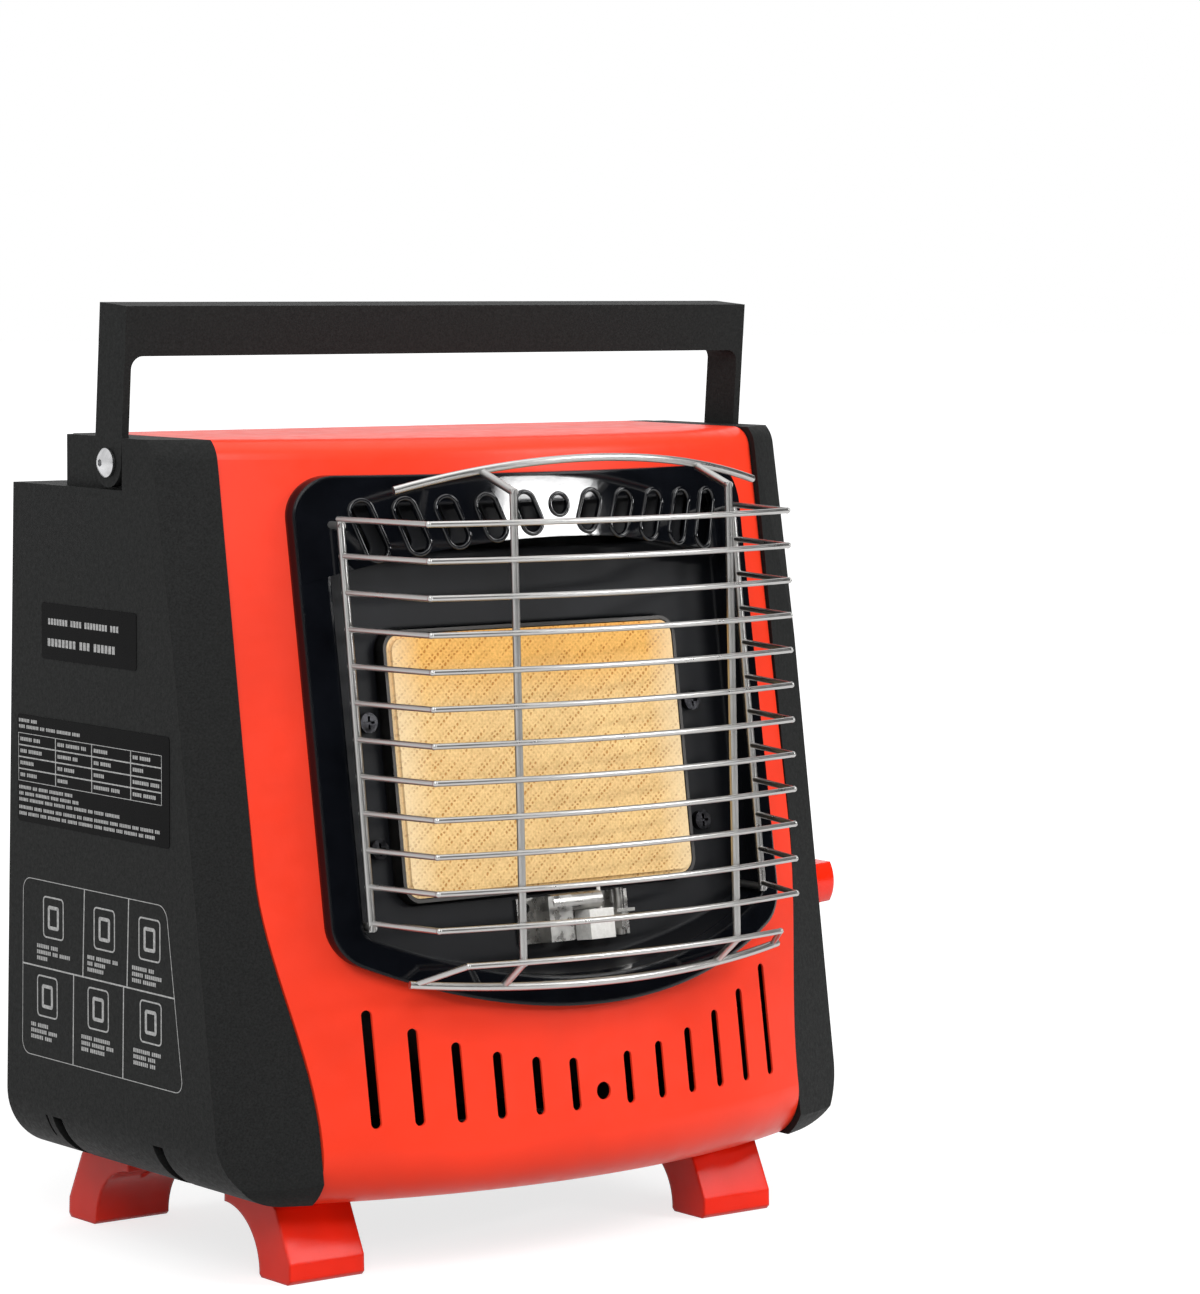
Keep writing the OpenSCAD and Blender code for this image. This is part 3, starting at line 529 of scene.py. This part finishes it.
class HeaterFinishSettings(bpy.types.PropertyGroup):
    red: colour_setting("Red coat", "Powder coat of the front sheet", (0.93, 0.046, 0.016))
    red_moulding: colour_setting("Red moulding", "Plastic of feet and knob", (0.92, 0.021, 0.004))
    black: colour_setting("Black plastic", "Plastic of the covers", (0.0118, 0.0123, 0.0121))
    enamel: colour_setting("Enamel", "Enamel of the reflector", (0.003, 0.0035, 0.005))
    steel: colour_setting("Steel wire", "Wire of the guard", (0.43, 0.425, 0.415))
    plaque: colour_setting("Plaque", "Fired ceramic", (0.98, 0.67, 0.31))
    # colour of the painted shade in the mouths of the holes
    plaque_hole_shade: colour_setting("Plaque holes", "Mouths of the holes", (0.50, 0.20, 0.035))
    hole_pitch: bpy.props.FloatProperty(
        name="Hole pitch",
        description="Distance between hole rows, in millimetres",
        default=1.55,
        min=0.5,
        max=4.0,
    )
    # height at which the darker, more orange band starts
    band_height: bpy.props.FloatProperty(
        name="Scorch height",
        description="Height at which the scorched band starts",
        default=0.166,
        unit="LENGTH",
    )


class HeaterStageSettings(bpy.types.PropertyGroup):
    key_power: power_setting("Key", "Power of the large soft light at the left", 12.0)
    side_power: power_setting("Side", "Power of the light at the front right", 7.0)
    glint_power: power_setting("Glint", "Power of the slim light over the camera", 0.9)
    top_power: power_setting("Top", "Power of the light above", 6.0)
    brow_power: power_setting("Brow", "Power of the strip light that the brow mirrors", 2.2)
    world_level: bpy.props.FloatProperty(
        name="Room", description="Level of the even light round the heater", default=0.42, min=0.0
    )


# ---------------------------------------------------------------- modelling helpers


def deselect():
    for other in bpy.context.selected_objects:
        other.select_set(False)


def started(name):
    """Names the primitive that was just added."""
    piece = bpy.context.active_object
    piece.name = piece.data.name = name
    return piece


def only(piece):
    deselect()
    piece.select_set(True)
    bpy.context.view_layer.objects.active = piece


def pick(piece, test):
    """Opens a piece in edit mode with the faces selected that pass a test."""
    bpy.ops.object.mode_set(mode="EDIT")
    bpy.ops.mesh.select_mode(type="FACE")
    bpy.ops.mesh.select_all(action="DESELECT")
    bpy.ops.object.mode_set(mode="OBJECT")
    for face in piece.data.polygons:
        face.select = test(face)
    bpy.ops.object.mode_set(mode="EDIT")


def settle(piece):
    """Puts a piece's place, turn and size into its mesh."""
    only(piece)
    bpy.ops.object.transform_apply(location=True, rotation=True, scale=True)


def dressed(piece, material, body):
    """Gives a finished piece its material and body."""
    piece.data.materials.clear()
    piece.data.materials.append(material)
    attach(piece, body)


def thicken(piece, thickness):
    """Gives a sheet a thickness in millimetres."""
    only(piece)
    solid = piece.modifiers.new("thickness", "SOLIDIFY")
    solid.thickness = thickness * MM
    solid.offset = -1.0
    bpy.ops.object.modifier_apply(modifier=solid.name)


def joined(pieces, name):
    """Joins pieces into one."""
    deselect()
    for piece in pieces:
        piece.select_set(True)
    bpy.context.view_layer.objects.active = pieces[0]
    bpy.ops.object.join()
    return started(name)


# ---------------------------------------------------------------- operators

FINISHES = {}


class HEATER_OT_finishes(bpy.types.Operator):
    """Make every finish and put it on the heater's own parts"""

    bl_idname = "heater.finishes"
    bl_label = "Finishes"

    def execute(self, context):
        s = context.scene.heater_finish
        FINISHES.update(
            red=enamelled_red(s),
            red_moulding=gloss_red(s),
            plastic=grained_black(s),
            sheet=black_sheet(s),
            enamel=black_enamel(s, "black_vitreous_enamel", shine=0.22, edge=1.5),
            brow=black_enamel(s, "wet_black_enamel", shine=0.5),
            wire=bright_wire(s),
            zinc=plated("zinc_coated_sheet", (0.46, 0.47, 0.48), 0.32, 0.5, 60.0),
            dark_screw=plated("darkened_screw_steel", (0.05, 0.05, 0.055), 0.12, 0.26),
            screw=plated("polished_screw_steel", (0.62, 0.62, 0.63), 0.2, 0.34),
            nickel=plated("nickel_plate", (0.40, 0.395, 0.38), 0.2, 0.42, 260.0),
            brass=plated("turned_brass", (0.66, 0.48, 0.20), 0.22, 0.38),
            burner=plated("heat_dulled_steel", (0.085, 0.082, 0.08), 0.36, 0.55, 90.0),
            casting=plated("die_casting", (0.48, 0.49, 0.50), 0.4, 0.56, 200.0),
            glaze=glazed_white(),
            sleeve=silicone(),
            plaque=plaque_ceramic(s),
            film=blank_label(),
            print=white_print(),
        )
        groups = {
            "red": ["front_panel"],
            "red_moulding": [
                "foot_front_left",
                "foot_front_right",
                "foot_rear_left",
                "foot_rear_right",
                "knob",
            ],
            "plastic": ["side_cover_left", "side_cover_right", "rear_door", "handle", "igniter"],
            "sheet": ["rear_panel", "base_plate", "cartridge_cradle", "heat_shield"],
            "enamel": ["reflector"],
            "dark_screw": ["burner_screws"],
            "wire": ["guard", "guard_posts", "guard_stays", "guard_hoops", "guard_low_wire"],
            "zinc": ["chassis_left", "chassis_right"],
            "screw": ["cover_screws", "door_pins", "handle_screws", "foot_screws", "lock_lever"],
            "nickel": ["pilot_bracket", "thermocouple"],
            "brass": ["valve_collar", "valve_stem", "gas_pipe", "injector"],
            "burner": ["burner_box"],
            "casting": ["regulator"],
            "glaze": ["electrode"],
            "sleeve": ["ignition_lead"],
            "plaque": ["burner_tile"],
        }
        for finish, names in groups.items():
            for name in names:
                node = NODES[name]
                node.data.materials.clear()
                node.data.materials.append(FINISHES[finish])
        missing = set(NODES) - {name for names in groups.values() for name in names}
        if missing:
            raise RuntimeError(f"no finish for {sorted(missing)}")
        return {"FINISHED"}


def brow_slots():
    """Foot, length and lean of each slanting slot of the brow."""
    for i in range(1, SLOTS_A_SIDE + 1):
        x = SLOT_START + SLOT_STEP * i
        low, high = SLOT_FOOT + FOOT_STEP * i, SLOT_TOP + TOP_STEP * i
        for side in (-1, 1):
            yield side * x, low, (high - low) / math.cos(SLOT_LEAN), side * SLOT_LEAN


def stretched(piece, length):
    """Draws the upper half of a lying round piece out to a slot, and stands it on its foot."""
    bpy.ops.object.mode_set(mode="EDIT")
    bpy.ops.mesh.select_mode(type="VERT")
    bpy.ops.mesh.select_all(action="DESELECT")
    bpy.ops.object.mode_set(mode="OBJECT")
    for v in piece.data.vertices:
        v.select = v.co.y > 1e-6
    bpy.ops.object.mode_set(mode="EDIT")
    bpy.ops.transform.translate(value=(0, (length - SLOT_WIDTH) * MM, 0))
    bpy.ops.object.mode_set(mode="OBJECT")
    piece.data.transform(UPRIGHT @ Matrix.Translation((0, SLOT_WIDTH / 2 * MM, 0)))


def cutter(name, radius, sides=32):
    """A round solid that lies at the origin, to cut with."""
    deselect()
    bpy.ops.mesh.primitive_cylinder_add(vertices=sides, radius=radius * MM, depth=CUT_DEPTH * MM)
    return started(name)


def cut_out(piece, tool):
    """Cuts one solid out of another."""
    only(piece)
    cut = piece.modifiers.new("cut", "BOOLEAN")
    cut.operation = "DIFFERENCE"
    cut.solver = "EXACT"
    cut.object = tool
    bpy.ops.object.modifier_apply(modifier=cut.name)
    bpy.data.objects.remove(tool)


class HEATER_OT_brow(bpy.types.Operator):
    """The bowed face plate over the dish, with its slanting slots and their lips"""

    bl_idname = "heater.brow"
    bl_label = "Brow"

    def plate(self):
        """A flat plate with round upper corners, cut by the arch and the slots, then bowed."""
        deselect()
        bpy.ops.mesh.primitive_plane_add(size=1.0)
        plate = started("brow_plate")
        middle = (BROW_FOOT + BROW_TOP) / 2 * MM
        size = Matrix.Diagonal((2 * BROW_HALF * MM, (BROW_TOP - BROW_FOOT) * MM, 1, 1))
        plate.data.transform(Matrix.Translation((0, 0, middle)) @ UPRIGHT @ size)
        for v in plate.data.vertices:
            v.select = v.co.z > middle
        bpy.ops.object.mode_set(mode="EDIT")
        bpy.ops.mesh.select_mode(type="VERT")
        bpy.ops.mesh.bevel(offset=BROW_CORNER * MM, segments=12, affect="VERTICES")
        bpy.ops.object.mode_set(mode="OBJECT")
        thicken(plate, BROW_THICK)
        arch = cutter("arch_cutter", ARCH_RADIUS, sides=512)
        centre = (ARCH_TOP - ARCH_RADIUS) * MM
        arch.data.transform(Matrix.Translation((0, 0, centre)) @ UPRIGHT)
        cut_out(plate, arch)
        cutters = []
        for x, low, length, lean in brow_slots():
            slot = cutter("slot_cutter", SLOT_WIDTH / 2)
            stretched(slot, length)
            foot = Matrix.Translation((x * MM, 0, low * MM))
            slot.data.transform(foot @ Matrix.Rotation(lean, 4, "Y"))
            cutters.append(slot)
        eye = cutter("eye_cutter", EYE_RADIUS)
        eye.data.transform(Matrix.Translation((EYE[0] * MM, 0, EYE[1] * MM)) @ UPRIGHT)
        cut_out(plate, joined(cutters + [eye], "slot_cutters"))
        only(plate)
        bpy.ops.object.mode_set(mode="EDIT")
        bends = int(BROW_HALF) // BROW_BEND
        for i in range(-bends, bends + 1):
            bpy.ops.mesh.select_all(action="SELECT")
            bpy.ops.mesh.bisect(plane_co=(i * BROW_BEND * MM, 0, 0), plane_no=(1, 0, 0))
        bpy.ops.object.mode_set(mode="OBJECT")
        for v in plate.data.vertices:
            x, depth, z = v.co / MM
            r = bow_radius(z, BROW_OUT)
            v.co = at(x, BOW_Y - math.sqrt(r * r - x * x) + depth, z)
        bpy.ops.object.shade_smooth_by_angle(angle=math.radians(30))
        dressed(plate, FINISHES["brow"], "cabinet")

    def lip(self, name, radius, thickness):
        """A ring of round bar, lying flat."""
        deselect()
        bpy.ops.mesh.primitive_torus_add(
            major_segments=40,
            minor_segments=12,
            major_radius=radius * MM,
            minor_radius=thickness * MM,
        )
        return started(name)

    def lips(self):
        """Raised lips round the slots and the eye."""
        made = []
        for x, low, length, lean in brow_slots():
            ring = self.lip("slot_lip", SLOT_WIDTH / 2 + LIP_OFF, SLOT_LIP)
            stretched(ring, length)
            ring.data.transform(on_bow(x, low, BROW_OUT) @ Matrix.Rotation(lean, 4, "Y"))
            made.append(ring)
        eye = self.lip("slot_lip_eye", EYE_RADIUS + LIP_OFF, EYE_LIP)
        eye.data.transform(on_bow(*EYE, BROW_OUT) @ UPRIGHT)
        lips = joined(made + [eye], "brow_slot_lips")
        bpy.ops.object.shade_smooth()
        dressed(lips, FINISHES["brow"], "cabinet")

    def execute(self, context):
        self.plate()
        self.lips()
        return {"FINISHED"}


class HEATER_OT_side_plates(bpy.types.Operator):
    """Blank plates, a ruled table and plain blocks of print on the left cover"""

    bl_idname = "heater.side_plates"
    bl_label = "Side plates"

    def face_sheet(self, name, y0, y1, z0, z1, lift):
        """A flat rectangle on the left cover's outer face."""
        deselect()
        bpy.ops.mesh.primitive_plane_add(size=1.0)
        sheet = started(name)
        sheet.data.transform(Matrix.Diagonal(((y1 - y0) * MM, (z1 - z0) * MM, 1, 1)))
        middle = at(COVER_FACE - lift, (y0 + y1) / 2, (z0 + z1) / 2)
        sheet.data.transform(Matrix.Translation(middle) @ FACING_LEFT)
        return sheet

    def round_corners(self, sheet, corner, steps):
        """Rounds every corner of a sheet."""
        only(sheet)
        bpy.ops.object.mode_set(mode="EDIT")
        bpy.ops.mesh.select_all(action="SELECT")
        bpy.ops.mesh.bevel(offset=corner * MM, segments=steps, affect="VERTICES")
        bpy.ops.object.mode_set(mode="OBJECT")

    def split(self, sheet, place, direction):
        """Cuts every face of a sheet along a plane."""
        only(sheet)
        bpy.ops.object.mode_set(mode="EDIT")
        bpy.ops.mesh.select_all(action="SELECT")
        bpy.ops.mesh.bisect(plane_co=place, plane_no=direction)
        bpy.ops.object.mode_set(mode="OBJECT")

    def emptied(self, sheet, line, each=True):
        """Leaves a thin line round a sheet, or round each of its faces."""
        only(sheet)
        bpy.ops.object.mode_set(mode="EDIT")
        bpy.ops.mesh.select_all(action="SELECT")
        bpy.ops.mesh.inset(thickness=line * MM, use_individual=each)
        bpy.ops.mesh.delete(type="FACE")
        bpy.ops.object.mode_set(mode="OBJECT")
        return sheet

    def label(self, name, place, corner):
        """A blank plate."""
        plate = self.face_sheet(name, *place, PLATE_LIFT)
        self.round_corners(plate, corner, steps=5)
        thicken(plate, PLATE_THICK)
        dressed(plate, FINISHES["film"], "cabinet")

    def table(self):
        """The table's net of thin lines."""
        net = self.face_sheet("table_lines", *TABLE, ON_PLATE)
        for y in TABLE_COLUMNS:
            self.split(net, at(COVER_FACE, y, 0), (0, 1, 0))
        for z in TABLE_ROWS:
            self.split(net, at(COVER_FACE, 0, z), (0, 0, 1))
        return self.emptied(net, TABLE_RULE)

    def cells(self):
        """Six cells in two rows, narrowing towards the top, with round outer corners."""
        (foot_front, foot_rear, foot), (top_front, top_rear, top) = CELLS_FOOT, CELLS_TOP
        net = self.face_sheet("cell_lines", foot_front, foot_rear, foot, top, ON_COVER)
        middle = at(COVER_FACE, (foot_front + foot_rear) / 2, CELLS_MIDDLE)
        for v in net.data.vertices:
            if v.co.z > middle.z:
                end = top_front if v.co.y < middle.y else top_rear
                v.co = at(COVER_FACE - ON_COVER, end, top)
        self.round_corners(net, CELLS_CORNER, steps=6)
        self.split(net, middle, (0, 0, 1))
        rows = ((True, UPPER_LINES, UPPER_SLANT), (False, LOWER_LINES, LOWER_SLANT))
        for upper, lines, slant in rows:
            for y in lines:
                pick(net, lambda face: (face.center.z > middle.z) == upper)
                place = at(COVER_FACE, y, CELLS_MIDDLE)
                bpy.ops.mesh.bisect(plane_co=place, plane_no=(0, 1, slant))
                bpy.ops.object.mode_set(mode="OBJECT")
        return self.emptied(net, CELLS_RULE)

    def blocks(self, y, end, z, high, lift, start=0):
        """One line of plain blocks in runs of uneven length, from the rear towards the front."""
        pitch = high * 0.86
        wide, gap = 0.7 * pitch, 0.9 * pitch
        runs = []
        while True:
            length = RUN_LENGTHS[start % len(RUN_LENGTHS)]
            start += 1
            if y - pitch * length < end:
                return runs
            run = self.face_sheet("print_run", y - wide, y, z - high / 2, z + high / 2, lift)
            row = run.modifiers.new("row", "ARRAY")
            row.count = length
            row.use_relative_offset = False
            row.use_constant_offset = True
            row.constant_offset_displace = (0, -pitch * MM, 0)
            bpy.ops.object.modifier_apply(modifier=row.name)
            runs.append(run)
            y -= pitch * length + gap

    def field(self, y, z, wide, high, corner, line):
        """An empty field with round corners."""
        place = (y - wide / 2, y + wide / 2, z - high / 2, z + high / 2)
        sheet = self.face_sheet("print_field", *place, ON_COVER)
        self.round_corners(sheet, corner, steps=4)
        return self.emptied(sheet, line, each=False)

    def execute(self, context):
        self.label("upper_plate", UPPER_PLATE, corner=1.0)
        self.label("rating_plate", RATING_PLATE, corner=1.2)
        prints = [self.table(), self.cells()]
        for y, end, z, high, start in UPPER_BLOCKS:
            prints += self.blocks(y, end, z, high, ON_PLATE, start)
        for line, (z, end) in enumerate(RATING_BLOCKS):
            prints += self.blocks(RATING_START, end, z, RATING_SIZE, ON_PLATE, line)
        for column, y in enumerate(TABLE_STARTS):
            for row, z in enumerate(TABLE_MIDDLES):
                reach = TABLE_REACHES[(column + 3 * row) % len(TABLE_REACHES)]
                prints += self.blocks(y, y - reach, z, TABLE_SIZE, ON_PLATE, column + row)
        for cell, (y, z) in enumerate(CELL_MIDDLES):
            for measures in CELL_FIELDS:
                prints.append(self.field(y, z + FIELDS_UP, *measures))
            begin = y + CELL_START
            for line, reach in enumerate(CELL_REACHES):
                height = z - CELL_DOWN - CELL_LINE * line
                first = cell + 2 * line
                prints += self.blocks(begin, begin - reach, height, CELL_SIZE, ON_COVER, first)
        lines = joined(prints, "printed_lines")
        thicken(lines, PRINT_THICK)
        dressed(lines, FINISHES["print"], "cabinet")
        return {"FINISHED"}


class HEATER_OT_stage(bpy.types.Operator):
    """Floor, lights, room and camera"""

    bl_idname = "heater.stage"
    bl_label = "Stage"

    def floor(self):
        """Plain floor: white where the eye meets it, and grey for the light that it sends up."""
        deselect()
        bpy.ops.mesh.primitive_plane_add(size=FLOOR_SIZE)
        floor = started("floor")
        mat, tree, skin = blank_finish("white_floor")
        skin.inputs["Base Color"].default_value = (FLOOR_GREY, FLOOR_GREY, FLOOR_GREY, 1.0)
        skin.inputs["Roughness"].default_value = 0.95
        skin.inputs["Specular IOR Level"].default_value = 0.0
        skin.inputs["Emission Color"].default_value = (1, 1, 1, 1)
        reach = tree.nodes.new("ShaderNodeVectorMath")
        reach.operation = "LENGTH"
        tree.links.new(object_space(tree), reach.inputs[0])
        white = span(tree, reach.outputs["Value"], WHITE_NEAR, WHITE_FAR, (FLOOR_NEAR, FLOOR_FAR))
        shown = maths(tree, "MULTIPLY", seen_directly(tree), white)
        tree.links.new(shown, skin.inputs["Emission Strength"])
        floor.data.materials.append(mat)

    def screen(self):
        """Dark screen round the front, which only reflections meet."""
        deselect()
        bpy.ops.mesh.primitive_cylinder_add(
            vertices=96,
            radius=SCREEN_RADIUS,
            depth=SCREEN_HEIGHT,
            end_fill_type="NOTHING",
            location=(0, 0, SCREEN_HEIGHT / 2),
        )
        screen = started("dark_screen")
        settle(screen)

        def outside(face):
            angle = math.degrees(math.atan2(face.center.x, -face.center.y))
            return not SCREEN_LEFT < angle < SCREEN_RIGHT

        pick(screen, outside)
        bpy.ops.mesh.delete(type="FACE")
        bpy.ops.object.mode_set(mode="OBJECT")
        mat, tree, skin = blank_finish("dark_cloth")
        skin.inputs["Base Color"].default_value = (0.012, 0.012, 0.013, 1.0)
        skin.inputs["Roughness"].default_value = 1.0
        skin.inputs["Specular IOR Level"].default_value = 0.0
        screen.data.materials.append(mat)
        screen.visible_camera = False
        screen.visible_diffuse = False
        screen.visible_transmission = False
        screen.visible_shadow = False

    def room(self, level):
        """Even light all round, and plain white where the eye or a reflection meets it."""
        world = bpy.data.worlds.new("white_room")
        bpy.context.scene.world = world
        world.use_nodes = True
        tree = world.node_tree
        back = tree.nodes["Background"]
        back.inputs["Color"].default_value = (1, 1, 1, 1)
        strength = span(tree, seen_directly(tree), level, 1.0, (0.0, 1.0))
        tree.links.new(strength, back.inputs["Strength"])

    def lamp(self, name, place, target, size, roll, power):
        """A rectangular lamp that faces its target."""
        data = bpy.data.lights.new(name, "AREA")
        data.shape = "RECTANGLE"
        data.size, data.size_y = size
        data.energy = power
        lamp = bpy.data.objects.new(name, data)
        bpy.context.scene.collection.objects.link(lamp)
        lamp.location = at(*place)
        facing = (at(*target) - at(*place)).to_track_quat("-Z", "Y").to_matrix()
        lamp.rotation_euler = (facing @ Matrix.Rotation(math.radians(roll), 3, "Z")).to_euler()

    def camera(self):
        """The camera, with its axes built from its direction."""
        data = bpy.data.cameras.new("camera")
        data.lens = CAMERA_LENS
        data.sensor_width = CAMERA_SENSOR
        data.clip_start, data.clip_end = 0.05, 30.0
        camera = bpy.data.objects.new("camera", data)
        bpy.context.scene.collection.objects.link(camera)
        turn, rise, roll = (math.radians(a) for a in (CAMERA_TURN, CAMERA_RISE, CAMERA_ROLL))
        flat = math.cos(rise)
        back = Vector((-math.sin(turn) * flat, -math.cos(turn) * flat, math.sin(rise)))
        level = (-back).cross(Vector((0, 0, 1))).normalized()
        over = level.cross(-back)
        right = level * math.cos(roll) + over * math.sin(roll)
        up = over * math.cos(roll) - level * math.sin(roll)
        facing = Matrix((right, up, back)).transposed().to_4x4()
        place = at(*CAMERA_AIM) + back * CAMERA_DISTANCE
        camera.matrix_world = Matrix.Translation(place) @ facing
        bpy.context.scene.camera = camera

    def execute(self, context):
        s = context.scene.heater_stage
        self.camera()
        self.floor()
        self.screen()
        self.room(s.world_level)
        for name, (setting, place, target, size, roll) in LAMPS.items():
            self.lamp(name, place, target, size, roll, getattr(s, setting))
        context.scene.view_settings.view_transform = "Standard"
        return {"FINISHED"}


class HEATER_PT_panel(bpy.types.Panel):
    """Lists the heater's builders"""

    bl_label = "Cabinet Heater"
    bl_idname = "HEATER_PT_panel"
    bl_space_type = "VIEW_3D"
    bl_region_type = "UI"
    bl_category = "Heater"

    def draw(self, context):
        for group in (context.scene.heater_finish, context.scene.heater_stage):
            column = self.layout.column(align=True)
            for key in group.__annotations__:
                column.prop(group, key)
        for operator in OPERATORS:
            self.layout.operator(operator.bl_idname)


OPERATORS = (
    HEATER_OT_stage,
    HEATER_OT_finishes,
    HEATER_OT_brow,
    HEATER_OT_side_plates,
)
CLASSES = (HeaterFinishSettings, HeaterStageSettings, *OPERATORS, HEATER_PT_panel)


def register():
    for cls in CLASSES:
        bpy.utils.register_class(cls)
    bpy.types.Scene.heater_finish = bpy.props.PointerProperty(type=HeaterFinishSettings)
    bpy.types.Scene.heater_stage = bpy.props.PointerProperty(type=HeaterStageSettings)


def unregister():
    del bpy.types.Scene.heater_stage
    del bpy.types.Scene.heater_finish
    for cls in reversed(CLASSES):
        bpy.utils.unregister_class(cls)


def main():
    register()
    for operator in OPERATORS:
        family, name = operator.bl_idname.split(".")
        getattr(getattr(bpy.ops, family), name)()


if __name__ == "__main__":
    main()
